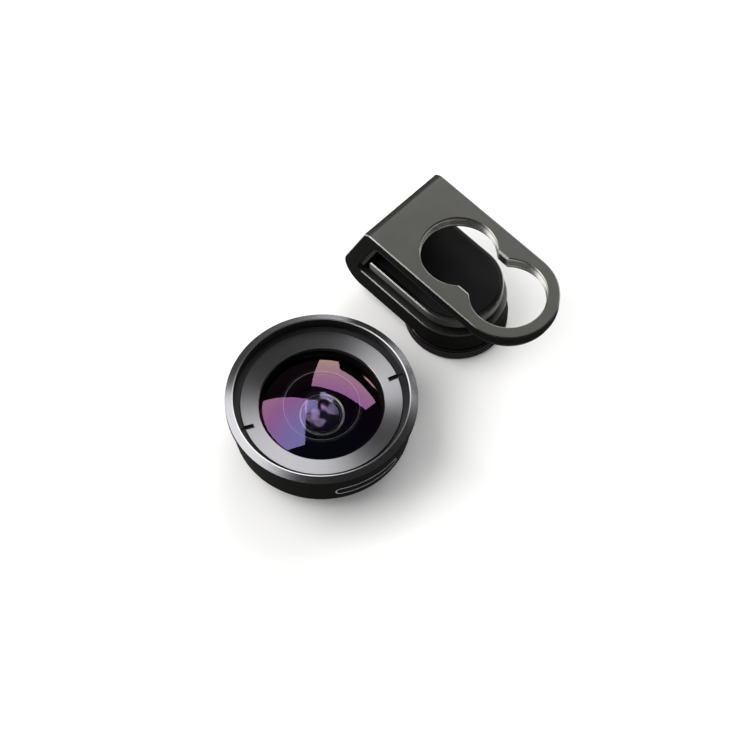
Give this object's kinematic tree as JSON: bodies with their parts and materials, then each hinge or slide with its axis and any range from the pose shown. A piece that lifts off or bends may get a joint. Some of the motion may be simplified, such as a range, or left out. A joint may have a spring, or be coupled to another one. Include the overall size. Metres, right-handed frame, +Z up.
{
  "type": "clip on phone lens",
  "caption": "C-shaped screw clip with overlapping threaded lens sockets and a wide-angle lens unit that screws into them, clamped on a phone by a knurled thumb knob.",
  "frame": {"origin": "centre of the thumb knob's underside, on the screw axis", "axes": "+X along the arms towards their tips, +Y across the arms, +Z up along the screw and the lens sockets"},
  "size_m": [0.0482, 0.0714, 0.0262],
  "materials": {
    "frame_metal": "dark grey anodised, satin",
    "pad_rubber": "moulded black rubber, matte",
    "knob_metal": "black anodised, knurled rim",
    "plate_metal": "clear anodised, satin",
    "screw_steel": "turned and plated steel",
    "barrel_metal": "black anodised, semi-gloss",
    "rim_metal": "turned bevel, grey anodised",
    "ring_metal": "face-turned, grey anodised",
    "inner_metal": "matte black inside the lens",
    "coated_glass": "polished glass with a purple coating"
  },
  "bodies": {
    "clip": {"clip_frame": "frame_metal", "upper_pad": "pad_rubber", "spine_pad": "pad_rubber", "lens_barrel": "barrel_metal", "front_rim": "rim_metal", "retaining_ring": "ring_metal", "element_sleeve": "inner_metal", "front_element": "coated_glass", "mount_ring": "barrel_metal", "middle_element": "coated_glass", "middle_retainer": "inner_metal", "rear_crown": "coated_glass", "rear_flint": "coated_glass", "rear_retainer": "inner_metal"},
    "plate": {"pressure_plate": "plate_metal", "plate_pad": "pad_rubber"},
    "knob": {"clamp_screw": "screw_steel", "thumb_knob": "knob_metal", "plate_washer": "screw_steel", "plate_screw": "screw_steel"}
  },
  "joints": [
    {"name": "clamp_travel", "type": "slide", "parent": "clip", "child": "plate", "axis": [0, 0, 1], "range_m": [-0.0018, 0.0002]},
    {"name": "knob_spin", "type": "hinge", "parent": "plate", "child": "knob", "pos_m": [0, 0, 0], "axis": [0, 0, 1], "range_deg": [-815, 95]}
  ],
  "couplings": [
    {"joint": "knob_spin", "follows": "clamp_travel", "rad_per_m": 7854}
  ]
}
